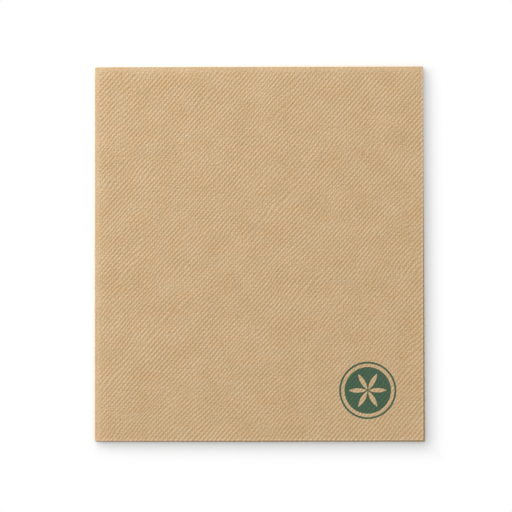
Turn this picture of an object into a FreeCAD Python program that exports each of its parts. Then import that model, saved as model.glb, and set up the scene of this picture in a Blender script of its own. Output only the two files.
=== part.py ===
import FreeCAD, Part
import math
import os

# Paper napkin, cut as one sheet, folded in half and in half again, and lying on a table.
# Seen from above, the first fold runs along the back (+Y) and the second along the left (-X),
# so the cut edges lie at the right (+X) and at the front (-Y).
# The four layers are one unbroken sheet. The two halves of the first fold are the outer half,
# which becomes the bottom and the top layer, and the inner half, which becomes the two middle ones.
# Lengths are in millimetres, angles in degrees, and +Z is up.

# The flat sheet, before it is folded
sheet_width = 379.0        # along X, halved by the second fold
sheet_length = 432.0       # along Y, halved by the first fold
sheet_thickness = 0.45     # embossed paper, measured over its relief

# The two folds
first_fold_gap = 0.15      # air between the layers inside the first fold
second_fold_gap = 0.3      # air between the layers inside the second fold
front_lead = 0.9           # how far the inner half's front edge reaches past the outer half's

# The emboss on the top face: straight ribs that climb from the front left to the back right
rib_step_x = 2.6           # from one rib to the next, along X
rib_step_y = 2.92          # from one rib to the next, along Y
groove_depth = 0.12        # below the ribs' crests
rib_land = 0.3             # flat crest left between two grooves
plain_left = 2.6           # pressed flat beside the second fold, from the left end
plain_back = 2.0           # pressed flat beside the first fold, from the back end

# Sizes that follow from the folds
packet = 2 * sheet_thickness + first_fold_gap
height = 2 * packet + second_fold_gap
fold_axis_z = height / 2
spine_radius = packet + second_fold_gap / 2
hairpin_radius = sheet_thickness + first_fold_gap / 2
hairpin_middle = (sheet_thickness + first_fold_gap) / 2
inner_bend_middle = (second_fold_gap + sheet_thickness) / 2
outer_bend_middle = inner_bend_middle + sheet_thickness + first_fold_gap

# Flat runs of the sheet, from what its bends leave of its length and width
runs_along_y = sheet_length - math.pi * hairpin_middle
outer_run_y = (runs_along_y - front_lead) / 2
inner_run_y = outer_run_y + front_lead
outer_run_x = (sheet_width - math.pi * outer_bend_middle) / 2
inner_run_x = (sheet_width - math.pi * inner_bend_middle) / 2

# The origin is under the middle of the box that the folded napkin fills
left_end = -(spine_radius + inner_run_x) / 2
back_end = (inner_run_y + hairpin_radius) / 2
second_fold_x = left_end + spine_radius
first_fold_y = back_end - hairpin_radius
right_edge = second_fold_x + inner_run_x
outer_right_edge = second_fold_x + outer_run_x
inner_front_edge = first_fold_y - inner_run_y
outer_front_edge = first_fold_y - outer_run_y

UP = FreeCAD.Vector(0, 0, 1)
ALONG_X = FreeCAD.Vector(1, 0, 0)
ALONG_Y = FreeCAD.Vector(0, 1, 0)


def closed_wire(points):
    """A wire of straight edges through the points and back to the first."""
    return Part.makePolygon(points + [points[0]])


def packet_section():
    """The first fold's two layers and their hairpin bend, cut across, where the second fold starts."""
    def at(y, z):
        return FreeCAD.Vector(second_fold_x, y, z)

    hairpin_z = packet / 2
    bore = first_fold_gap / 2
    inner_base = sheet_thickness + first_fold_gap
    edges = [
        Part.makeLine(at(outer_front_edge, 0), at(first_fold_y, 0)),
        Part.Arc(
            at(first_fold_y, 0),
            at(back_end, hairpin_z),
            at(first_fold_y, packet),
        ).toShape(),
        Part.makeLine(at(first_fold_y, packet), at(inner_front_edge, packet)),
        Part.makeLine(at(inner_front_edge, packet), at(inner_front_edge, inner_base)),
        Part.makeLine(at(inner_front_edge, inner_base), at(first_fold_y, inner_base)),
        Part.Arc(
            at(first_fold_y, inner_base),
            at(first_fold_y + bore, hairpin_z),
            at(first_fold_y, sheet_thickness),
        ).toShape(),
        Part.makeLine(at(first_fold_y, sheet_thickness), at(outer_front_edge, sheet_thickness)),
        Part.makeLine(at(outer_front_edge, sheet_thickness), at(outer_front_edge, 0)),
    ]
    return Part.Face(Part.Wire(edges))


def creep_wedge():
    """What the outer half lacks at the right: it goes the long way round the second fold, so its cut
    edge runs back from the first fold, where it can't slide, to its full creep at the front."""
    past_front = outer_front_edge - front_lead
    slope = (right_edge - outer_right_edge) / (first_fold_y - outer_front_edge)
    creep_there = slope * (first_fold_y - past_front)
    base = [
        FreeCAD.Vector(right_edge, first_fold_y, 0),
        FreeCAD.Vector(right_edge - creep_there, past_front, 0),
        FreeCAD.Vector(right_edge + creep_there, past_front, 0),
        FreeCAD.Vector(right_edge + creep_there, first_fold_y, 0),
    ]
    depth = sheet_thickness + first_fold_gap / 2
    wedge = Part.Face(closed_wire(base)).extrude(UP * 2 * depth)
    wedge.translate(UP * -depth)
    return wedge


def folded_sheet():
    """The whole sheet: the lower packet, the spine that the second fold bends, and the upper packet."""
    section = packet_section()
    lower = section.extrude(ALONG_X * inner_run_x).cut(creep_wedge())
    spine_axis = FreeCAD.Vector(second_fold_x, 0, fold_axis_z)
    spine = section.revolve(spine_axis, ALONG_Y, 180)
    upper = lower.mirror(spine_axis, UP)
    return lower.fuse([spine, upper])


def emboss_grooves():
    """The grooves between the ribs, as far as the embossed part of the top face goes."""
    angle = math.degrees(math.atan2(rib_step_y, rib_step_x))
    pitch = rib_step_x * math.sin(math.radians(angle))
    half_width = (pitch - rib_land) / 2
    zone_left = left_end + plain_left
    zone_back = back_end - plain_back
    zone_width = right_edge - zone_left
    zone_length = zone_back - inner_front_edge
    reach = math.hypot(zone_width, zone_length) / 2 + pitch
    overshoot = rib_land / 4
    lift = overshoot * groove_depth / half_width

    def one_groove(offset):
        """A V cut whose walls go on a little above the face, so that no edge lies in it."""
        points = [
            FreeCAD.Vector(-reach, offset, height - groove_depth),
            FreeCAD.Vector(-reach, offset + half_width + overshoot, height + lift),
            FreeCAD.Vector(-reach, offset - half_width - overshoot, height + lift),
        ]
        return Part.Face(closed_wire(points)).extrude(ALONG_X * 2 * reach)

    half_count = int(reach / pitch)
    grooves = Part.makeCompound([one_groove(n * pitch) for n in range(-half_count, half_count + 1)])
    grooves.rotate(FreeCAD.Vector(0, 0, 0), UP, angle)
    middle = FreeCAD.Vector(zone_left + zone_width / 2, zone_back - zone_length / 2, 0)
    grooves.translate(middle)
    margin = pitch
    zone = Part.makeBox(
        zone_width + margin,
        zone_length + margin,
        sheet_thickness,
        FreeCAD.Vector(zone_left, zone_back - zone_length - margin, height - sheet_thickness / 2),
    )
    return grooves.common(zone)


os.makedirs("parts", exist_ok=True)
napkin = folded_sheet().cut(emboss_grooves())
napkin.exportStep("parts/napkin.step")

box = napkin.optimalBoundingBox(True, False)
print("napkin: %.2f x %.2f x %.2f mm" % (box.XLength, box.YLength, box.ZLength))
print("solids %d, valid %s, volume %.0f mm3" % (len(napkin.Solids), napkin.isValid(), napkin.Volume))
print("inner half past the outer: %.2f at the right, %.2f at the front" % (
    right_edge - outer_right_edge, front_lead))
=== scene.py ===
"""A paper napkin, one embossed sheet folded in half and in half again, lying flat on a pale table.

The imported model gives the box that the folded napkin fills. The sheet is cut out flat here, its ribs are
pressed into it, and it is then folded into that box, so every size below is one of the flat sheet, of its
two folds or of its emboss. Lengths are in metres unless a name says otherwise.
"""

import math

import bmesh
import bpy
from bpy.props import FloatProperty, FloatVectorProperty, IntProperty, PointerProperty
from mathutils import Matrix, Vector, noise


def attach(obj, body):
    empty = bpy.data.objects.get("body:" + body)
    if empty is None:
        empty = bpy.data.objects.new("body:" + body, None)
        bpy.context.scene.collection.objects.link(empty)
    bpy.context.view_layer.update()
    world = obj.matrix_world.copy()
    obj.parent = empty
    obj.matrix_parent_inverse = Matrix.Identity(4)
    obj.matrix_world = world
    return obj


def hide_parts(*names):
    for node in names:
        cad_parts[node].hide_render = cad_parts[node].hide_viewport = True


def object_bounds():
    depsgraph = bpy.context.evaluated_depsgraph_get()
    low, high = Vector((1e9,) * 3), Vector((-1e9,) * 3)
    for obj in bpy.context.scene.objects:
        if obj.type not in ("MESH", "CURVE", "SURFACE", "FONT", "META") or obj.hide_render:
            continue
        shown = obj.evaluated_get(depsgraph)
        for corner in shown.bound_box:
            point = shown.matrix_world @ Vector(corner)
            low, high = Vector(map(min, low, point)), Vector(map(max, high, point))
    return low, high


bl_info = {
    "name": "Folded Paper Napkin",
    "version": (1, 0, 0),
    "blender": (4, 5, 0),
    "location": "View3D > Sidebar > Napkin",
    "description": "Builds an embossed paper napkin folded in four, and the table it lies on",
    "category": "Add Mesh",
}

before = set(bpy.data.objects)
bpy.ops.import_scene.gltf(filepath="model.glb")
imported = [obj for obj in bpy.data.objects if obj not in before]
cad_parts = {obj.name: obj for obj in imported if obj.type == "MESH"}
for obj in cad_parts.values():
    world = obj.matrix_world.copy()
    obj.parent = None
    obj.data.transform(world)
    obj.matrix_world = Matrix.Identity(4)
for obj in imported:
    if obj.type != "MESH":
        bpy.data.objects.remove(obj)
BOX_LOW, BOX_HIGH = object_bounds()

MM = 0.001

# The photograph's frame, in pixels, and the outermost edges of the napkin in it
PHOTO_SIDE = 512
PHOTO_LEFT = 94.5
PHOTO_RIGHT = 424.2
PHOTO_TOP = 66.4
PHOTO_BOTTOM = 441.9
PIXEL = (BOX_HIGH.y - BOX_LOW.y) / (PHOTO_BOTTOM - PHOTO_TOP)

# Planes nearer to a point than this don't cut it off
TOUCH = 2e-6


def linear(code):
    """An sRGB hex colour as linear red, green and blue."""
    shares = [int(code[place:place + 2], 16) / 255 for place in (1, 3, 5)]
    return [s / 12.92 if s <= 0.04045 else ((s + 0.055) / 1.055) ** 2.4 for s in shares]


def length(name, description, default):
    """A property that is a length in metres."""
    return FloatProperty(name=name, description=description, default=default, unit="LENGTH", precision=5)


def angle(name, description, degrees):
    """A property that is an angle, from its value in degrees."""
    return FloatProperty(
        name=name, description=description, default=math.radians(degrees), subtype="ANGLE")


def colour(name, description, code):
    """A property that is a colour, from its sRGB hex value."""
    return FloatVectorProperty(name=name, description=description, default=linear(code), subtype="COLOR")


class NapkinSheetSizes(bpy.types.PropertyGroup):
    """Sizes of the flat sheet and of its two folds."""

    width: length("Sheet width", "Across the flat sheet, halved by the second fold", 0.379)
    length: length("Sheet length", "Along the flat sheet, halved by the first fold", 0.432)
    thickness: length("Paper thickness", "Embossed paper, measured over its relief", 0.45 * MM)
    rim: length("Rim thickness", "Paper at its cut edges, which the knife pressed thin", 0.27 * MM)
    first_gap: length("First fold's gap", "Air between the layers inside the first fold", 0.15 * MM)
    second_gap: length("Second fold's gap", "Air between the layers inside the second fold", 0.3 * MM)
    front_lead: length("Front lead", "How far the inner half's edge reaches past the outer half's", 0.9 * MM)
    loose_first: length("First fold's slack", "How far its two layers part at the front", 0.12 * MM)
    loose_second: length("Second fold's slack", "How far its two halves part at the right", 0.3 * MM)
    pressed: FloatProperty(
        name="Pressed folds", description="2 bends them round, more presses them square", default=2.9)
    cockle: length("Cockle", "Height of the paper's slow waves", 0.055 * MM)
    drift: length("Drift", "How far the emboss strays from straight lines", 0.35 * MM)
    spread_back: length("Narrowing at the back", "How much the right edge draws in there", 0.82 * MM)
    spread_front: length("Widening at the front", "How much the right edge stands out there", 0.5 * MM)
    tilt: length("Tilt", "How much nearer to the front the top's left end lies than its right", 0.4 * MM)
    flattened: FloatProperty(
        name="Flattened folds", description="Share of its height that the second fold loses in pressing",
        default=0.25, subtype="FACTOR")


class NapkinEmboss(bpy.types.PropertyGroup):
    """Sizes of the emboss, which a ribbed roller presses through the sheet."""

    step_x: length("Rib step across", "From one rib to the next, across the sheet", 2.6 * MM)
    step_y: length("Rib step along", "From one rib to the next, along the sheet", 2.92 * MM)
    depth: length("Rib depth", "From a rib's crest to the groove beside it", 0.147 * MM)
    fault_size: length("Fault size", "Usual distance between the lines where ribs break step", 27.0 * MM)
    wander_size: length("Wander size", "Over which the ribs bend to and fro", 50.0 * MM)
    bead: length("Beads", "Height of the beads along each rib", 0.048 * MM)
    wire_x: length("Wire mark across", "Height of the mark that repeats twice a rib across", 0.031 * MM)
    wire_y: length("Wire mark along", "Height of the mark that repeats twice a rib along", 0.017 * MM)
    plain_left: length("Plain band, left", "Pressed flat beside the second fold, from its outside", 2.1 * MM)
    plain_back: length("Plain band, back", "Pressed flat beside the first fold, from its outside", 1.7 * MM)
    fade: length("Fade", "Over which the ribs rise beside a plain band", 1.4 * MM)
    top_steps: IntProperty(name="Steps a rib, top", description="Strips to each rib on top", default=6)
    under_steps: IntProperty(name="Steps a rib, under", description="Strips to each rib below", default=4)


class NapkinFinish(bpy.types.PropertyGroup):
    """Colours of the paper and the ink, and the printed mark's sizes."""

    paper: colour("Paper", "Unbleached pulp", "#CBAC82")
    warm: colour("Warm fibres", "Where the pulp is redder", "#CFAB80")
    cool: colour("Cool fibres", "Where the pulp is greyer", "#C7AD85")
    ink: colour("Ink", "Water-based green ink, soaked in", "#456049")
    mark_right: length("Mark from the right", "From the top's right edge to the mark's middle", 32.0 * MM)
    mark_front: length("Mark from the front", "From the top's front edge to the mark's middle", 29.0 * MM)
    mark_disc: length("Mark's disc", "Its radius", 13.4 * MM)
    mark_ring: length("Mark's ring", "Its middle radius", 15.9 * MM)
    mark_line: length("Mark's line", "Width of the ring", 1.1 * MM)
    mark_petal: length("Mark's petals", "From the middle to their tips", 11.4 * MM)


class NapkinStage(bpy.types.PropertyGroup):
    """The table, the light and the camera."""

    table: colour("Table", "Matt white laminate", "#DADADA")
    key_power: FloatProperty(
        name="Key light", description="Power of the softbox", default=20.0, unit="POWER")
    key_width: length("Key light's width", "Level side of the softbox", 2.7)
    key_reach: length("Key light's reach", "Upright side of the softbox", 0.5)
    key_distance: length("Key light's distance", "From the napkin's middle", 1.03)
    key_height: angle("Key light's height", "From the table up to it", 17.0)
    key_side: angle("Key light's side", "From +X towards +Y", 135.0)
    fill: FloatProperty(name="Fill", description="Strength of the light from all round", default=0.7)
    shown: FloatProperty(name="Table as seen", description="Its shade of white in the picture", default=1.02)
    shadows_fade: length("Shadows' fade", "How far past the napkin they start to fade to white", 3.0 * MM)
    shadows_end: length("Shadows' end", "How far past the napkin the table is plain white", 14.0 * MM)
    lens: FloatProperty(name="Lens", description="Its focal length", default=100.0, unit="CAMERA")


def smooth_step(low, high, value):
    """0 up to low, 1 from high, and a smooth rise between them."""
    share = min(max((value - low) / (high - low), 0.0), 1.0)
    return share * share * (3 - 2 * share)


def cloud(x, y, size, seed):
    """Soft noise from about -1 to 1 whose lumps are about size across."""
    return noise.noise(Vector((x / size, y / size, seed)))


class Folds:
    """Where the points of the flat sheet lie once it is folded in half and in half again.

    On the flat sheet, u runs across from the bottom layer's cut edge to the top layer's, v runs along from
    the outer half's cut edge to the inner half's, and w is the height above the middle of the paper, on
    the side that ends up outside.
    """

    # Out from the end of each fold's bend, where the paper goes from well creased to smooth
    SPINE_CREASE = (-0.4 * MM, 0.3 * MM)
    HAIRPIN_CREASE = (-0.2 * MM, 0.3 * MM)

    def __init__(self, sheet):
        self.sheet = sheet
        self.packet = 2 * sheet.thickness + sheet.first_gap
        self.spine = self.packet + sheet.second_gap / 2
        self.hairpin = (sheet.thickness + sheet.first_gap) / 2
        self.inner_bend = (sheet.second_gap + sheet.thickness) / 2
        self.outer_bend = self.inner_bend + sheet.thickness + sheet.first_gap
        self.axis_z = BOX_LOW.z + self.spine
        self.fold_x = BOX_LOW.x + self.spine
        self.fold_y = BOX_HIGH.y - sheet.thickness - sheet.first_gap / 2
        runs = sheet.length - math.pi * self.hairpin
        self.outer_run = (runs - sheet.front_lead) / 2
        self.inner_start = self.outer_run + math.pi * self.hairpin
        self.middle = sheet.width / 2

    def bend(self, v):
        """Half the length of sheet that goes round the second fold. The outer half goes the long way
        round, except beside the first fold, where it can't slide on the inner half."""
        slide = max(0.0, 1 - v / self.outer_run)
        return math.pi / 2 * (self.inner_bend + (self.outer_bend - self.inner_bend) * slide)

    def crease(self, u, v):
        """1 where the sheet goes round a fold, and 0 away from it."""
        spine = abs(u - self.middle) - self.bend(v)
        hairpin = max(self.outer_run - v, v - self.inner_start)
        return 1 - smooth_step(*self.SPINE_CREASE, spine) * smooth_step(*self.HAIRPIN_CREASE, hairpin)

    def from_left(self, u, v):
        """How far a point lies from the second fold's outside, seen from above."""
        return self.spine + abs(u - self.middle) - self.bend(v)

    def from_back(self, v):
        """How far a point lies from the first fold's outside, seen from above."""
        outside = self.sheet.thickness + self.sheet.first_gap / 2
        if v < self.outer_run:
            return outside + self.outer_run - v
        if v > self.inner_start:
            return outside + v - self.inner_start
        return outside * abs(math.cos((v - self.outer_run) / self.hairpin))

    def round_bend(self, turn, radius):
        """How far out and how far up a bend reaches at this turn from its outermost line. The folds are
        pressed, so their bends are squarer than circles."""
        out, up = math.cos(turn), math.sin(turn)
        square = self.sheet.pressed
        reach = radius * (abs(out) ** square + abs(up) ** square) ** (-1 / square)
        return out * reach, up * reach

    def place(self, u, v, w):
        """The folded point, with both folds pressed true."""
        if v < self.outer_run:
            y, height = self.fold_y - self.outer_run + v, -self.hairpin - w
        elif v > self.inner_start:
            y, height = self.fold_y + self.inner_start - v, self.hairpin + w
        else:
            turn = (v - self.outer_run) / self.hairpin - math.pi / 2
            out, height = self.round_bend(turn, self.hairpin + w)
            y = self.fold_y + out
        radius = self.spine - self.packet / 2 - height
        along, bend = u - self.middle, self.bend(v)
        if abs(along) < bend:
            out, up = self.round_bend(along / bend * math.pi / 2, radius)
            return Vector((self.fold_x - out, y, self.axis_z + up))
        return Vector((self.fold_x + abs(along) - bend, y, self.axis_z + math.copysign(radius, along)))


class Unevenness:
    """What handling leaves in the folded paper: slack between its layers, slow waves, and a slight skew."""

    SLACK_REACH = 60 * MM      # over which the layers part, away from a fold
    SLACK_WAVE = 70 * MM       # usual size of the slack's lumps
    SLACK_SHARE = 0.6          # usual share of the full slack
    SLACK_SEEDS = (1.7, 5.2, 9.4)  # of the three gaps between the layers, from the table up
    WAVE_REACH = 9 * MM        # over which the waves rise beside a fold
    WAVE = 15 * MM             # size of the slow waves
    QUICK_WAVE = WAVE / 2.3    # and of the quick ones on them
    QUICK_SHARE = 0.3          # height of the quick waves, as a share of the slow ones'
    DRIFT_WAVE = 42 * MM       # over which the emboss strays to and fro
    DRIFT_GAIN = 1.6           # for the noise, which seldom comes near to 1
    DRIFT_REACH = 14 * MM      # over which the emboss starts to stray, beside an edge or a fold
    EDGE_DRIFT = 0.15          # share of its straying that is left on a cut edge
    PRESS_REACH = 8 * MM       # over which the flattening of a fold fades out
    BACK_SHARE = 0.55          # the first fold's flattening, as a share of the second's
    TILT_FROM = 0.95           # how far across the tilt turns round

    def __init__(self, folds):
        self.folds = folds
        self.sheet = folds.sheet
        step = folds.packet - folds.sheet.thickness
        first = folds.sheet.thickness / 2
        second = first + step
        third = second + folds.sheet.thickness + folds.sheet.second_gap
        self.layers = (first, second, third, third + step)

    def drifted(self, u, v):
        """The point, moved along the sheet as the emboss strays: little at its edges, not at its folds."""
        sheet, folds = self.sheet, self.folds

        def free(to_edge, to_fold):
            """How freely the emboss strays, this far from the nearest cut edge and from the fold."""
            at_edge = self.EDGE_DRIFT + (1 - self.EDGE_DRIFT) * smooth_step(0, self.DRIFT_REACH, to_edge)
            return at_edge * smooth_step(0, self.DRIFT_REACH, to_fold)

        free_x = free(min(u, sheet.width - u), abs(u - folds.middle) - folds.bend(v))
        free_y = free(min(v, sheet.length - v), max(folds.outer_run - v, v - folds.inner_start))
        reach = sheet.drift * self.DRIFT_GAIN
        moved_u = u + reach * free_x * cloud(u, v, self.DRIFT_WAVE, seed=3.1)
        return moved_u, v + reach * free_y * cloud(moved_u, v, self.DRIFT_WAVE, seed=8.6)

    def lift(self, spot):
        """How far the slack raises a point that lies at this height among the layers."""
        folds, sheet = self.folds, self.sheet
        front = sheet.loose_first * smooth_step(0, self.SLACK_REACH, folds.fold_y - spot.y)
        right = sheet.loose_second * smooth_step(0, self.SLACK_REACH, spot.x - folds.fold_x)
        total = 0.0
        height = spot.z - BOX_LOW.z
        for slack, seed, below, above in zip(
                (front, right, front), self.SLACK_SEEDS, self.layers, self.layers[1:]):
            step = slack * self.SLACK_SHARE * (1 + cloud(spot.x, spot.y, self.SLACK_WAVE, seed))
            total += max(step, 0.0) * min(max((height - below) / (above - below), 0.0), 1.0)
        return total

    def wave(self, u, v, spot):
        """The slow waves of the layer that a point is in. The bottom one lies flat on the table."""
        folds = self.folds
        if u < folds.middle and v < folds.outer_run:
            return 0.0
        held = smooth_step(0, self.WAVE_REACH, abs(u - folds.middle) - folds.bend(v))
        held *= smooth_step(0, self.WAVE_REACH, max(folds.outer_run - v, v - folds.inner_start))
        # Each layer has waves of its own
        seed = 20.0 + 4 * (u > folds.middle) + 9 * (v < folds.outer_run)
        slow = cloud(spot.x, spot.y, self.WAVE, seed)
        quick = cloud(spot.x, spot.y, self.QUICK_WAVE, seed + 2.5)
        return self.sheet.cockle * held * (slow + self.QUICK_SHARE * quick)

    def squeezed(self, spot):
        """The share of its height that a point keeps where the folds are pressed flat. The first fold,
        at the back, is pressed less than the second, at the left."""
        left = 2 - 2 * smooth_step(-self.PRESS_REACH, self.PRESS_REACH, spot.x - BOX_LOW.x)
        back = 2 - 2 * smooth_step(-self.PRESS_REACH, self.PRESS_REACH, BOX_HIGH.y - spot.y)
        return 1 - self.sheet.flattened * (left + self.BACK_SHARE * back)

    def skewed(self, u, v, spot):
        """The point after the skew: the right edge leans, and the top layer lies a little askew."""
        along = (spot.y - BOX_LOW.y) / (BOX_HIGH.y - BOX_LOW.y)
        across = (spot.x - BOX_LOW.x) / (BOX_HIGH.x - BOX_LOW.x)
        lean = self.sheet.spread_front * (1 - along) - self.sheet.spread_back * along
        bend = self.folds.bend(v)
        on_top = smooth_step(-bend, bend, u - self.folds.middle) if v < self.folds.outer_run else 0.0
        share = along + (1 - along) * on_top
        tilt = self.sheet.tilt * (across - self.TILT_FROM) * share
        return Vector((spot.x + lean * across * across, spot.y + tilt, spot.z))

    def place(self, u, v, w):
        """The folded point as it lies after handling."""
        at_u, at_v = self.drifted(u, v)
        spot = self.folds.place(at_u, at_v, w)
        height = (spot.z - BOX_LOW.z + self.lift(spot) + self.wave(u, v, spot)) * self.squeezed(spot)
        spot = self.skewed(u, v, spot)
        spot.z = BOX_LOW.z + height
        return spot


class Roller:
    """The ribbed roller that embosses the sheet: where it presses, how its ribs run, and how deep."""

    WANDER = 0.7               # of a rib, how far the ribs bend to and fro
    SLIP = 0.5                 # of a rib, how far they break step
    SLIP_SEEDS = (41.3, 52.8)  # one for each set of lines along which they do
    SLIP_ACROSS = (-0.03, 0.03)  # noise from one side of such a line to the other
    SLIP_ENDS = (0.05, 0.25)   # noise from where nothing slipped to where it slipped in full
    PRESSED = 0.9              # usual share of the full depth
    PATCHES = ((0.2, 26 * MM, 12.3), (0.25, 5 * MM, 4.4))  # how much it varies, over what size, and a seed

    def __init__(self, emboss, folds):
        self.emboss, self.folds = emboss, folds
        across = Vector((1 / emboss.step_x, -1 / emboss.step_y, 0))
        self.across, self.pitch = across.normalized(), 1 / across.length

    def share(self, u, v):
        """1 where the sheet is fully embossed and 0 in the plain bands beside its folds."""
        emboss, folds = self.emboss, self.folds
        left = smooth_step(emboss.plain_left, emboss.plain_left + emboss.fade, folds.from_left(u, v))
        back = smooth_step(emboss.plain_back, emboss.plain_back + emboss.fade, folds.from_back(v))
        return left * back

    def shift(self, u, v):
        """How far the ribs are out of step, as a share of a rib. They wander a little, and along some
        lines they break step by up to half a rib, as the sheet slipped on the roller."""
        emboss = self.emboss
        shift = self.WANDER * cloud(u, v, emboss.wander_size, seed=31.7)
        for seed in self.SLIP_SEEDS:
            slipped = smooth_step(*self.SLIP_ENDS, cloud(u, v, emboss.fault_size, seed + 3.3))
            beyond = smooth_step(*self.SLIP_ACROSS, cloud(u, v, emboss.fault_size, seed))
            shift += self.SLIP * slipped * beyond
        return shift

    def relief(self, share, shift, u, v):
        """How far the sheet's outside lies below the ribs' crests. The roller presses unevenly."""
        phase = u / self.emboss.step_x - v / self.emboss.step_y + shift
        pressed = self.PRESSED + sum(more * cloud(u, v, size, seed) for more, size, seed in self.PATCHES)
        return -self.emboss.depth * share * pressed * (1 - math.cos(2 * math.pi * phase)) / 2


def cut(bm, faces, normal, offset):
    """Cuts the faces where a plane crosses them, and returns them with what they were cut into."""
    edges = {e for f in faces for e in f.edges}
    verts = {v for f in faces for v in f.verts}
    made = bmesh.ops.bisect_plane(
        bm, geom=[*verts, *edges, *faces], dist=TOUCH, plane_co=normal * offset, plane_no=normal)
    return [g for g in made["geom"] if isinstance(g, bmesh.types.BMFace)]


def cut_all(bm, faces, normal, offsets):
    """Cuts the faces by parallel planes, from the middle one outwards, so that no face is tried twice."""
    if not offsets or not faces:
        return faces
    half = len(offsets) // 2
    low, high = [], []
    for face in cut(bm, faces, normal, offsets[half]):
        beyond = face.calc_center_median().dot(normal) > offsets[half]
        (high if beyond else low).append(face)
    return cut_all(bm, low, normal, offsets[:half]) + cut_all(bm, high, normal, offsets[half + 1:])


def steps_between(low, high, step):
    """The multiples of step that lie between low and high."""
    return [n * step for n in range(math.ceil(low / step), math.floor(high / step) + 1)]


def spaced(low, high, count):
    """Both ends and the points that cut the way between them in count."""
    return [low + (high - low) * n / count for n in range(count + 1)]


class FlatSheet:
    """The sheet before it is folded: a thin slab, cut finely where it bends and where ribs show."""

    ROW = 2.2 * MM             # length of the facets along the top layer's ribs
    UNDER_ROW = 3.2 * MM       # and along the bottom layer's
    COARSE = 8.5 * MM          # facets everywhere else
    SPINE_FACETS = 16          # round the second fold
    HAIRPIN_FACETS = 10        # round the first fold
    BORDER = 0.9 * MM          # from a bend to the first strip of ribs
    CLEAR = 3 * BORDER         # from a bend to the first coarse cut
    RIM = 2.0 * MM             # strip along the inner half's cut edges, which lead past the outer half's

    def __init__(self, folds, roller):
        self.folds, self.roller = folds, roller
        self.sheet, self.emboss = folds.sheet, roller.emboss
        self.across_x, self.across_y = Vector((1, 0, 0)), Vector((0, 1, 0))

    def slab(self):
        """A closed slab of the sheet's size."""
        bm = bmesh.new()
        bmesh.ops.create_cube(bm, size=1)
        size = Vector((self.sheet.width, self.sheet.length, self.sheet.thickness))
        bmesh.ops.scale(bm, vec=size, verts=bm.verts)
        bmesh.ops.translate(bm, vec=Vector((size.x / 2, size.y / 2, 0)), verts=bm.verts)
        return bm

    def cut_evenly(self, bm, panel, direction, step):
        """Cuts a panel all the way across at every step in this direction."""
        reach = [v.co.dot(direction) for f in panel for v in f.verts]
        return cut_all(bm, panel, direction, steps_between(min(reach), max(reach), step))

    def on_rim(self, u, v):
        """1 on the inner half's cut edges, 0 from the strip along them inwards and on the outer half."""
        if v < self.folds.inner_start:
            return 0.0
        return max(0.0, 1 - min(u, self.sheet.width - u, self.sheet.length - v) / self.RIM)

    def sorted_faces(self, bm, low_x, high_x, end_y):
        """The slab's faces: the ribbed outside of the bottom layer, that of the top layer, and the rest."""
        under, top, rest = [], [], []
        for face in bm.faces:
            middle = face.calc_center_median()
            ribbed = face.normal.z > 0.5 and middle.y < end_y
            if ribbed and middle.x < low_x:
                under.append(face)
            elif ribbed and middle.x > high_x:
                top.append(face)
            else:
                rest.append(face)
        return under, top, rest

    def build(self):
        """The slab with all its cuts."""
        folds, sheet, emboss = self.folds, self.sheet, self.emboss
        bm = self.slab()
        bend = math.pi / 2 * folds.outer_bend
        low_x, high_x = folds.middle - bend - self.BORDER, folds.middle + bend + self.BORDER
        end_y = folds.outer_run - self.BORDER
        cut_all(bm, list(bm.faces), self.across_x, [low_x, high_x])
        cut_all(bm, list(bm.faces), self.across_y, [end_y])
        under, top, rest = self.sorted_faces(bm, low_x, high_x, end_y)

        # Strips along the ribs, on the rims too
        across, pitch = self.roller.across, self.roller.pitch
        rest = cut_all(bm, rest, self.across_x, [self.RIM, sheet.width - self.RIM])
        rest = cut_all(bm, rest, self.across_y, [folds.inner_start, sheet.length - self.RIM])
        rim = [f for f in rest if self.on_rim(*f.calc_center_median().xy) > 0]
        rest = [f for f in rest if f not in rim]
        rest += self.cut_evenly(bm, rim, across, pitch / emboss.under_steps)
        top = self.cut_evenly(bm, top, across, pitch / emboss.top_steps)
        under = self.cut_evenly(bm, under, across, pitch / emboss.under_steps)

        # Fine cuts round the bends, and coarse ones everywhere else
        spine = [folds.middle + s for s in spaced(-bend, bend, self.SPINE_FACETS)]
        hairpin = spaced(folds.outer_run, folds.inner_start, self.HAIRPIN_FACETS)
        coarse_x = spaced(0, sheet.width, round(sheet.width / self.COARSE))[1:-1]
        coarse_y = spaced(0, sheet.length, round(sheet.length / self.COARSE))[1:-1]
        keep_x = [x for x in coarse_x if abs(x - folds.middle) > bend + self.CLEAR]
        keep_y = [y for y in coarse_y if abs(y - folds.outer_run) > self.CLEAR]
        rest = cut_all(bm, rest, self.across_x, sorted(keep_x + spine))
        cut_all(bm, rest, self.across_y, sorted(keep_y + hairpin))

        # The strips' facets
        along = Vector((-across.y, across.x, 0))
        self.cut_evenly(bm, under, along, self.UNDER_ROW)
        self.cut_evenly(bm, top, along, self.ROW)
        return bm


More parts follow.
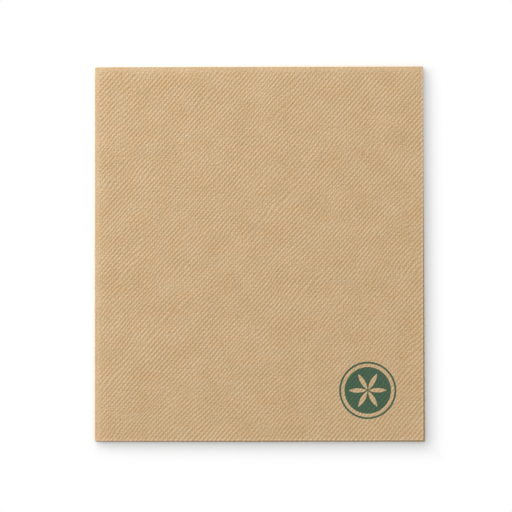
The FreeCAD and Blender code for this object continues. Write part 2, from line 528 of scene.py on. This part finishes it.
class BakeMap:
    """How the sheet's skin is laid out in a square, with most room for the top layer's outside.

    The outside, the inside and the four cut edges each keep to a field of their own.
    """

    LEFT = 0.012
    SPLIT_X = 0.24             # between the bottom layer's outside and the top layer's
    RIGHT = 0.972
    FRONT = 0.036
    SPLIT_Y = 0.865            # between the outer half's outside and the inner half's
    BACK = 0.93
    INSIDE = (0.955, 0.995)
    EDGE = 0.008               # width of a cut edge's field, and its distance from the outside's
    TOP_START = 2.5 * MM       # how far before the sheet's middle the top layer's share begins

    def __init__(self, folds):
        self.folds = folds

    def across(self, u):
        """How far across the square a point lies that is this far across the sheet."""
        sheet, start = self.folds.sheet, self.folds.middle - self.TOP_START
        if u < start:
            return self.LEFT + (self.SPLIT_X - self.LEFT) * u / start
        return self.SPLIT_X + (self.RIGHT - self.SPLIT_X) * (u - start) / (sheet.width - start)

    def along(self, v):
        """How far up the square a point lies that is this far along the sheet."""
        sheet, end = self.folds.sheet, self.folds.inner_start
        if v < end:
            return self.FRONT + (self.SPLIT_Y - self.FRONT) * v / end
        return self.SPLIT_Y + (self.BACK - self.SPLIT_Y) * (v - end) / (sheet.length - end)

    def place(self, u, v, w, normal):
        """A corner's place in the square, on a face with this flat normal."""
        depth = self.EDGE * (0.5 - w / self.folds.sheet.thickness)
        if normal.z > 0.5:
            return self.across(u), self.along(v)
        if normal.z < -0.5:
            low, high = self.INSIDE
            return self.across(u), low + (high - low) * v / self.folds.sheet.length
        if normal.x > 0.5:
            return self.RIGHT + self.EDGE + depth, self.along(v)
        if normal.x < -0.5:
            # There is less room at the left
            return self.LEFT - (self.EDGE + 2 * depth) / 3, self.along(v)
        if normal.y < -0.5:
            return self.across(u), self.FRONT - self.EDGE - depth
        return self.across(u), self.BACK + self.EDGE + depth


# What the mesh tells its material: of each point, its share of the emboss, whether its ribs are in the
# mesh, how far they are out of step and how creased it is, and of each face, whether it is a cut edge
POINT_MARKS = ("embossed", "ribs_modelled", "rib_shift", "crease")
FACE_MARK = "cut_edge"


def lay_out(bm, bake):
    """Gives the flat sheet its two UV maps, and marks its cut edges and the sharp lines beside them."""
    flat_map = bm.loops.layers.uv.new("flat_sheet")
    bake_map = bm.loops.layers.uv.new("OFBake")
    cut_edge = bm.faces.layers.float.new(FACE_MARK)
    for face in bm.faces:
        face[cut_edge] = float(abs(face.normal.z) < 0.5)
        for corner in face.loops:
            u, v, w = corner.vert.co
            corner[flat_map].uv = (u, v)
            corner[bake_map].uv = bake.place(u, v, w, face.normal)
        face.smooth = True
    for edge in bm.edges:
        edge.smooth = abs(edge.link_faces[0].normal.z - edge.link_faces[1].normal.z) < 0.5


def folded_mesh(name, sheet, emboss):
    """The napkin's mesh: cut flat, marked with where each point lies on the sheet, then folded."""
    folds = Folds(sheet)
    handled = Unevenness(folds)
    roller = Roller(emboss, folds)
    flat = FlatSheet(folds, roller)
    bm = flat.build()
    bm.normal_update()
    lay_out(bm, BakeMap(folds))
    for mark in POINT_MARKS:
        bm.verts.layers.float.new(mark)
    embossed, modelled, shifted, crease = [bm.verts.layers.float[mark] for mark in POINT_MARKS]
    for vert in bm.verts:
        u, v, w = vert.co
        share = roller.share(u, v)
        outside = w > 0 and v < folds.outer_run
        vert[embossed] = share
        vert[modelled] = float(outside)
        vert[crease] = folds.crease(u, v)
        # The knife pressed the rims thin, from their inside
        if w < 0 and min(u, v, sheet.width - u, sheet.length - v) < TOUCH:
            w += sheet.thickness - sheet.rim
        on_rim = flat.on_rim(u, v)
        if outside or on_rim > 0:
            shift = roller.shift(u, v)
            vert[shifted] = shift
            w += roller.relief(share * (1.0 if outside else on_rim), shift, u, v)
        vert.co = handled.place(u, v, w)
    mesh = bpy.data.meshes.new(name)
    bm.to_mesh(mesh)
    bm.free()
    return mesh


def add_node(tree, kind, settings, inputs):
    """Adds a node: settings are its properties, inputs its sockets' values or the outputs they take."""
    made = tree.nodes.new("ShaderNode" + kind)
    for name, value in settings.items():
        setattr(made, name, value)
    for name, value in inputs.items():
        if isinstance(value, bpy.types.NodeSocket):
            tree.links.new(value, made.inputs[name])
        else:
            made.inputs[name].default_value = value
    return made


def new_material(name):
    """An empty node material, its tree and its output."""
    material = bpy.data.materials.new(name)
    material.use_nodes = True
    material.node_tree.nodes.clear()
    return material, material.node_tree, add_node(material.node_tree, "OutputMaterial", {}, {})


def in_mm(size):
    """A length in metres as millimetres, the unit of the paper's pattern."""
    return size / MM


class Pattern:
    """What a material's nodes draw over the flat sheet. Its sizes are in millimetres."""

    def __init__(self, tree):
        self.tree = tree
        flat = add_node(tree, "UVMap", {"uv_map": "flat_sheet"}, {})
        self.spot = add_node(
            tree, "VectorMath", {"operation": "SCALE"},
            {0: flat.outputs["UV"], "Scale": 1 / MM}).outputs[0]
        self.marks = {
            mark: add_node(tree, "Attribute", {"attribute_name": mark}, {}).outputs["Fac"]
            for mark in (*POINT_MARKS, FACE_MARK)}

    def sum_of(self, start, *parts):
        """The start, and each part's value multiplied by its share, added up."""
        for value, share in parts:
            start = add_node(
                self.tree, "Math", {"operation": "MULTIPLY_ADD"},
                {0: value, 1: share, 2: start}).outputs[0]
        return start

    def product_of(self, start, *others):
        """All the values multiplied."""
        for other in others:
            start = add_node(
                self.tree, "Math", {"operation": "MULTIPLY"}, {0: start, 1: other}).outputs[0]
        return start

    def wave(self, turns_x, turns_y, shifts=0.0):
        """A wave from 0 to 1 with this many turns a millimetre across and along the sheet, and out of
        step by this many times the ribs' shift."""
        phase = add_node(
            self.tree, "VectorMath", {"operation": "DOT_PRODUCT"},
            {0: self.spot, 1: (2 * math.pi * turns_x, 2 * math.pi * turns_y, 0)}).outputs["Value"]
        moved = self.sum_of(phase, (self.marks["rib_shift"], 2 * math.pi * shifts))
        turn = add_node(self.tree, "Math", {"operation": "COSINE"}, {0: moved}).outputs[0]
        return self.sum_of(0.5, (turn, 0.5))

    def grain(self, size, detail, stretch=(1, 1, 1), turn=0.0):
        """Noise around 0.5 whose lumps are about this many millimetres across."""
        turned = add_node(
            self.tree, "Mapping", {}, {"Vector": self.spot, "Rotation": (0, 0, turn), "Scale": stretch})
        return add_node(
            self.tree, "TexNoise", {},
            {"Vector": turned.outputs[0], "Scale": 1 / size, "Detail": detail}).outputs["Fac"]

    def toned(self, grain, spread):
        """1 where the grain is at its middle, and this share darker or lighter at its ends, which lie
        at about 0.3 and 0.7."""
        return add_node(
            self.tree, "MapRange", {},
            {"Value": grain, "From Min": 0.3, "From Max": 0.7,
             "To Min": 1 - spread, "To Max": 1 + spread}).outputs["Result"]

    def beside_cuts(self, sheet, starts, full):
        """0 where the nearest cut edge is further off than starts, and 1 where it is nearer than full."""
        place = add_node(self.tree, "SeparateXYZ", {}, {0: self.spot})
        x, y = place.outputs["X"], place.outputs["Y"]
        nearest = x
        for distance in (
                y, self.sum_of(in_mm(sheet.width), (x, -1.0)), self.sum_of(in_mm(sheet.length), (y, -1.0))):
            nearest = add_node(
                self.tree, "Math", {"operation": "MINIMUM"}, {0: nearest, 1: distance}).outputs[0]
        return add_node(
            self.tree, "MapRange", {"interpolation_type": "SMOOTHSTEP"},
            {"Value": nearest, "From Min": starts, "From Max": full}).outputs["Result"]


def mark_coverage(pattern, sheet, finish):
    """Where ink lies: a disc with a six-petalled compass flower left bare in it, inside a thin ring."""
    tree = pattern.tree
    bleed = 0.16    # millimetres over which the ink's edge fades into the paper
    fray = 0.3      # and by which it wanders
    frays = 1.4     # ragged spots to a millimetre
    slim = 0.25     # millimetres by which the petals' sides draw in, so that the petals stay apart
    frayed = add_node(tree, "TexNoise", {}, {"Vector": pattern.spot, "Scale": frays, "Detail": 2.0})
    moved = add_node(
        tree, "VectorMath", {"operation": "MULTIPLY_ADD"},
        {0: frayed.outputs["Color"], 1: (fray, fray, 0), 2: pattern.spot})
    middle = (in_mm(sheet.width - finish.mark_right) + fray / 2, in_mm(finish.mark_front) + fray / 2, 0)
    arm = add_node(tree, "VectorMath", {"operation": "SUBTRACT"}, {0: moved.outputs[0], 1: middle})
    flat = add_node(tree, "VectorMath", {"operation": "MULTIPLY"}, {0: arm.outputs[0], 1: (1, 1, 0)})
    radius = add_node(
        tree, "VectorMath", {"operation": "LENGTH"}, {0: flat.outputs[0]}).outputs["Value"]

    # The arm, folded into half a petal's share of a turn, and how far it is from the arc's middle
    # that draws the petal's side
    sixth = math.pi / 3
    parts = add_node(tree, "SeparateXYZ", {}, {0: flat.outputs[0]})
    turn = add_node(
        tree, "Math", {"operation": "ARCTAN2"}, {0: parts.outputs["Y"], 1: parts.outputs["X"]})
    fold = add_node(tree, "Math", {"operation": "PINGPONG"}, {0: turn.outputs[0], 1: sixth / 2})
    along = add_node(tree, "Math", {"operation": "COSINE"}, {0: fold.outputs[0]})
    aside = add_node(tree, "Math", {"operation": "SINE"}, {0: fold.outputs[0]})
    folded = add_node(tree, "CombineXYZ", {}, {"X": along.outputs[0], "Y": aside.outputs[0]})
    scaled = add_node(
        tree, "VectorMath", {"operation": "SCALE"}, {0: folded.outputs[0], "Scale": radius})
    reach = in_mm(finish.mark_petal)
    from_arc = add_node(
        tree, "VectorMath", {"operation": "DISTANCE"},
        {0: scaled.outputs[0], 1: (reach / 2, -reach * math.sin(sixth), 0)}).outputs["Value"]

    def within(distance, limit):
        """1 inside the limit and 0 outside, with the ink's soft edge."""
        return add_node(
            tree, "MapRange", {"interpolation_type": "SMOOTHSTEP"},
            {"Value": distance, "From Min": limit - bleed, "From Max": limit + bleed,
             "To Min": 1.0, "To Max": 0.0}).outputs["Result"]

    bare = pattern.sum_of(1.0, (within(from_arc, reach - slim), -1.0))
    flower = pattern.product_of(within(radius, in_mm(finish.mark_disc)), bare)
    off_ring = pattern.sum_of(-in_mm(finish.mark_ring), (radius, 1.0))
    gap = add_node(tree, "Math", {"operation": "ABSOLUTE"}, {0: off_ring})
    ring = within(gap.outputs[0], in_mm(finish.mark_line) / 2)
    return add_node(tree, "Math", {"operation": "MAXIMUM"}, {0: flower, 1: ring}).outputs[0]


def tissue_paper(sheet, emboss, finish):
    """Unbleached tissue paper, creped and then embossed between rollers: matt, warm and slightly cloudy,
    with fibres and fine crepe that catch the light, and ink that has soaked in."""
    material, tree, output = new_material("unbleached_tissue_paper")
    pattern = Pattern(tree)
    sum_of, product_of, marks = pattern.sum_of, pattern.product_of, pattern.marks
    ribs_x, ribs_y = 1 / in_mm(emboss.step_x), 1 / in_mm(emboss.step_y)
    rib = pattern.wave(ribs_x, -ribs_y, shifts=1.0)
    beads = product_of(rib, pattern.wave(ribs_x, ribs_y, shifts=-1.0))
    wire_x, wire_y = pattern.wave(2 * ribs_x, 0), pattern.wave(0, 2 * ribs_y)
    pulp = pattern.grain(size=9.0, detail=5.0)
    tone = pattern.grain(size=14.0, detail=2.0)
    lumps = pattern.grain(size=2.4, detail=2.0)
    crepe = pattern.grain(size=1.2, detail=2.0, stretch=(0.8, 1.3, 1))
    fibre = pattern.grain(size=0.7, detail=3.0, stretch=(1.0, 0.5, 1), turn=0.9)
    # Near the cut edges: a slightly raised rim in the relief, a painted highlight on the outer layers'
    # outside, and painted shade elsewhere
    burr_highlight_and_shade = pattern.beside_cuts(sheet, starts=1.1, full=0.4)
    modelled = marks["ribs_modelled"]
    unmodelled = sum_of(1.0, (modelled, -1.0))

    # Height in millimetres. Fibres and crepe are really a fifth as wide, and are drawn as coarse as
    # they need to be to show. The knife that cut the sheet left a slight burr along its edges.
    pressed = sum_of(
        0.0,
        (product_of(rib, unmodelled), in_mm(emboss.depth)),
        (beads, in_mm(emboss.bead)),
        (wire_x, in_mm(emboss.wire_x)),
        (wire_y, in_mm(emboss.wire_y)))
    height = sum_of(
        0.0,
        (pressed, marks["embossed"]),
        (lumps, 0.19),
        (crepe, 0.25),
        (fibre, 0.175),
        (burr_highlight_and_shade, 0.08))
    bump = add_node(tree, "Bump", {}, {"Height": height, "Distance": MM, "Strength": 1.0})

    # Hue: clouds of warmer and of greyer pulp
    hue = add_node(tree, "MapRange", {}, {"Value": pulp, "From Min": 0.35, "From Max": 0.65})
    fibres = add_node(
        tree, "Mix", {"data_type": "RGBA"},
        {"Factor": hue.outputs["Result"], "A": (*finish.warm, 1), "B": (*finish.cool, 1)})
    blended = add_node(
        tree, "Mix", {"data_type": "RGBA"},
        {"Factor": 0.5, "A": (*finish.paper, 1), "B": fibres.outputs["Result"]})

    # Tone: cloudy, speckled and flecked, with a painted highlight along the outer layers' cut edges, painted
    # shade round the folds' creases, and darker between the ribs and beads, partly as the roller pressed the
    # paper dense there and partly as painted shade in the grooves
    mottling_and_edge_highlight = product_of(
        pattern.toned(tone, 0.05),
        # a painted highlight along the outer layers' cut edges
        sum_of(1.0, (product_of(burr_highlight_and_shade, modelled), 0.1)),
        pattern.toned(fibre, 0.07),
        pattern.toned(crepe, 0.09))
    # Painted shade in the grooves between the ribs and between the beads, partly also the denser paper that
    # the roller pressed there
    ribs = sum_of(-0.148, (rib, 0.09), (beads, 0.05))
    level = product_of(
        mottling_and_edge_highlight,
        sum_of(1.09, (ribs, marks["embossed"])),
        # painted shade round the folds' creases
        sum_of(1.0, (marks["crease"], -0.13)))
    # Darker spots are warmer too, because light leaves them after more turns among the fibres
    deepened = [
        add_node(tree, "Math", {"operation": "POWER"}, {0: level, 1: power}).outputs[0]
        for power in (0.6, 1.0, 1.8)]
    shades = add_node(tree, "CombineXYZ", {}, dict(zip("XYZ", deepened)))
    # Painted shade: the cut edges are darker, and so is the paper within a millimetre of them away from the
    # outer layers' outside, chiefly the inner half's rims that lead at the front and right in the top
    # layer's shade
    painted_edge_shade = sum_of(1.0, (marks[FACE_MARK], -0.3), (product_of(burr_highlight_and_shade, unmodelled), -0.22))
    dimmed = add_node(tree, "VectorMath", {"operation": "SCALE"}, {0: shades.outputs[0], "Scale": painted_edge_shade})
    paper = add_node(
        tree, "VectorMath", {"operation": "MULTIPLY"},
        {0: blended.outputs["Result"], 1: dimmed.outputs[0]})
    inked = add_node(
        tree, "VectorMath", {"operation": "SCALE"}, {0: tuple(finish.ink), "Scale": mottling_and_edge_highlight})
    base = add_node(
        tree, "Mix", {"data_type": "RGBA"},
        {"Factor": mark_coverage(pattern, sheet, finish), "A": paper.outputs[0], "B": inked.outputs[0]})
    shader = add_node(
        tree, "BsdfPrincipled", {},
        {"Base Color": base.outputs["Result"], "Roughness": 0.93, "Specular IOR Level": 0.2,
         "Sheen Weight": 0.06, "Sheen Roughness": 0.7, "Normal": bump.outputs[0]})
    tree.links.new(shader.outputs[0], output.inputs["Surface"])
    return material


def table_laminate(stage):
    """Matt white table top. Seen straight it is an even plain white, as in a product photograph, and
    plain white light where the napkin's shadow has faded out."""
    material, tree, output = new_material("matt_white_laminate")
    path = add_node(tree, "LightPath", {}, {})
    place = add_node(tree, "TexCoord", {}, {})
    shown = add_node(
        tree, "Mix", {"data_type": "RGBA"},
        {"Factor": path.outputs["Is Camera Ray"], "A": (*stage.table, 1), "B": (*[stage.shown] * 3, 1)})
    near = add_node(tree, "BsdfDiffuse", {}, {"Color": shown.outputs["Result"]})
    far = add_node(tree, "Emission", {}, {"Color": (1, 1, 1, 1), "Strength": 1.0})
    out = add_node(tree, "VectorMath", {"operation": "ABSOLUTE"}, {0: place.outputs["Object"]})
    past = add_node(tree, "VectorMath", {"operation": "SUBTRACT"}, {0: out.outputs[0], 1: tuple(BOX_HIGH)})
    sides = add_node(tree, "SeparateXYZ", {}, {0: past.outputs[0]})
    margin = add_node(
        tree, "Math", {"operation": "MAXIMUM"}, {0: sides.outputs["X"], 1: sides.outputs["Y"]})
    farness = add_node(
        tree, "MapRange", {"interpolation_type": "SMOOTHSTEP"},
        {"Value": margin.outputs[0], "From Min": stage.shadows_fade, "From Max": stage.shadows_end})
    seen_far = add_node(
        tree, "Math", {"operation": "MULTIPLY"},
        {0: farness.outputs["Result"], 1: path.outputs["Is Camera Ray"]})
    shader = add_node(
        tree, "MixShader", {}, {0: seen_far.outputs[0], 1: near.outputs[0], 2: far.outputs[0]})
    tree.links.new(shader.outputs[0], output.inputs["Surface"])
    return material


def even_world(stage):
    """Even pale light from all round, seen as plain white."""
    world = bpy.data.worlds.new("studio")
    world.use_nodes = True
    tree = world.node_tree
    tree.nodes.clear()
    path = add_node(tree, "LightPath", {}, {})
    seen = 0.0
    for ray in ("Is Camera Ray", "Is Glossy Ray", "Is Transmission Ray"):
        seen = add_node(
            tree, "Math", {"operation": "ADD", "use_clamp": True},
            {0: seen, 1: path.outputs[ray]}).outputs[0]
    strength = add_node(
        tree, "MapRange", {}, {"Value": seen, "To Min": stage.fill, "To Max": 1.0})
    light = add_node(
        tree, "Background", {}, {"Color": (1, 1, 1, 1), "Strength": strength.outputs["Result"]})
    output = add_node(tree, "OutputWorld", {}, {})
    tree.links.new(light.outputs[0], output.inputs["Surface"])
    bpy.context.scene.world = world


def link(name, data):
    """A new object at the origin."""
    made = bpy.data.objects.new(name, data)
    bpy.context.scene.collection.objects.link(made)
    return made


class NAPKIN_OT_sheet(bpy.types.Operator):
    """Cuts the sheet out flat, presses its ribs, folds it in four and prints its mark"""

    bl_idname = "napkin.sheet"
    bl_label = "Folded sheet"

    def execute(self, context):
        sheet, emboss = context.scene.napkin_sheet, context.scene.napkin_emboss
        napkin = link("folded_napkin", folded_mesh("folded_napkin", sheet, emboss))
        napkin.data.materials.append(tissue_paper(sheet, emboss, context.scene.napkin_finish))
        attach(napkin, "root")
        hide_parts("napkin")
        return {"FINISHED"}


class NAPKIN_OT_stage(bpy.types.Operator):
    """Adds the table, the light and the camera"""

    bl_idname = "napkin.stage"
    bl_label = "Table, light and camera"

    TABLE_REACH = 3.0          # from its middle to its edges
    SENSOR = 36.0              # the camera's, across, in millimetres

    def execute(self, context):
        stage = context.scene.napkin_stage
        bm = bmesh.new()
        bmesh.ops.create_grid(bm, x_segments=1, y_segments=1, size=self.TABLE_REACH)
        bmesh.ops.translate(bm, vec=(0, 0, BOX_LOW.z), verts=bm.verts)
        mesh = bpy.data.meshes.new("table_top")
        bm.to_mesh(mesh)
        bm.free()
        mesh.materials.append(table_laminate(stage))
        link("table_top", mesh)
        even_world(stage)

        key = bpy.data.lights.new("softbox", "AREA")
        key.energy, key.shape = stage.key_power, "RECTANGLE"
        key.size, key.size_y = stage.key_width, stage.key_reach
        lamp = link("softbox", key)
        side, up = stage.key_side, stage.key_height
        towards = Vector((math.cos(side) * math.cos(up), math.sin(side) * math.cos(up), math.sin(up)))
        lamp.location = towards * stage.key_distance
        lamp.rotation_euler = towards.to_track_quat("Z", "Y").to_euler()

        # Straight above the middle of the photograph, as far off as its scale asks
        camera = bpy.data.cameras.new("camera")
        camera.lens, camera.sensor_width = stage.lens, self.SENSOR
        above = link("camera", camera)
        right = ((PHOTO_LEFT + PHOTO_RIGHT) / 2 - PHOTO_SIDE / 2) * PIXEL
        down = ((PHOTO_TOP + PHOTO_BOTTOM) / 2 - PHOTO_SIDE / 2) * PIXEL
        distance = PHOTO_SIDE * PIXEL * camera.lens / camera.sensor_width
        above.location = (-right, down, BOX_HIGH.z + distance)
        context.scene.camera = above
        context.scene.view_settings.view_transform = "Standard"
        return {"FINISHED"}


class NAPKIN_PT_panel(bpy.types.Panel):
    """The napkin's sizes and colours, and what builds it"""

    bl_idname = "NAPKIN_PT_panel"
    bl_label = "Folded napkin"
    bl_space_type = "VIEW_3D"
    bl_region_type = "UI"
    bl_category = "Napkin"

    def draw(self, context):
        for title, group in GROUPS.items():
            box = self.layout.box()
            box.label(text=title)
            settings = getattr(context.scene, group)
            for name in settings.__annotations__:
                box.prop(settings, name)
        for operator in OPERATORS:
            self.layout.operator(operator.bl_idname)


GROUPS = {
    "Sheet": "napkin_sheet",
    "Emboss": "napkin_emboss",
    "Finish": "napkin_finish",
    "Stage": "napkin_stage",
}
SETTINGS = (NapkinSheetSizes, NapkinEmboss, NapkinFinish, NapkinStage)
OPERATORS = (NAPKIN_OT_sheet, NAPKIN_OT_stage)
CLASSES = (*SETTINGS, *OPERATORS, NAPKIN_PT_panel)


def register():
    """Makes the classes and the settings known to Blender."""
    for made in CLASSES:
        bpy.utils.register_class(made)
    for group, settings in zip(GROUPS.values(), SETTINGS):
        setattr(bpy.types.Scene, group, PointerProperty(type=settings))


def unregister():
    """Takes the settings and the classes out again."""
    for group in GROUPS.values():
        delattr(bpy.types.Scene, group)
    for made in reversed(CLASSES):
        bpy.utils.unregister_class(made)


def main():
    """Builds the napkin and its stage."""
    register()
    bpy.ops.napkin.sheet()
    bpy.ops.napkin.stage()


if __name__ == "__main__":
    main()
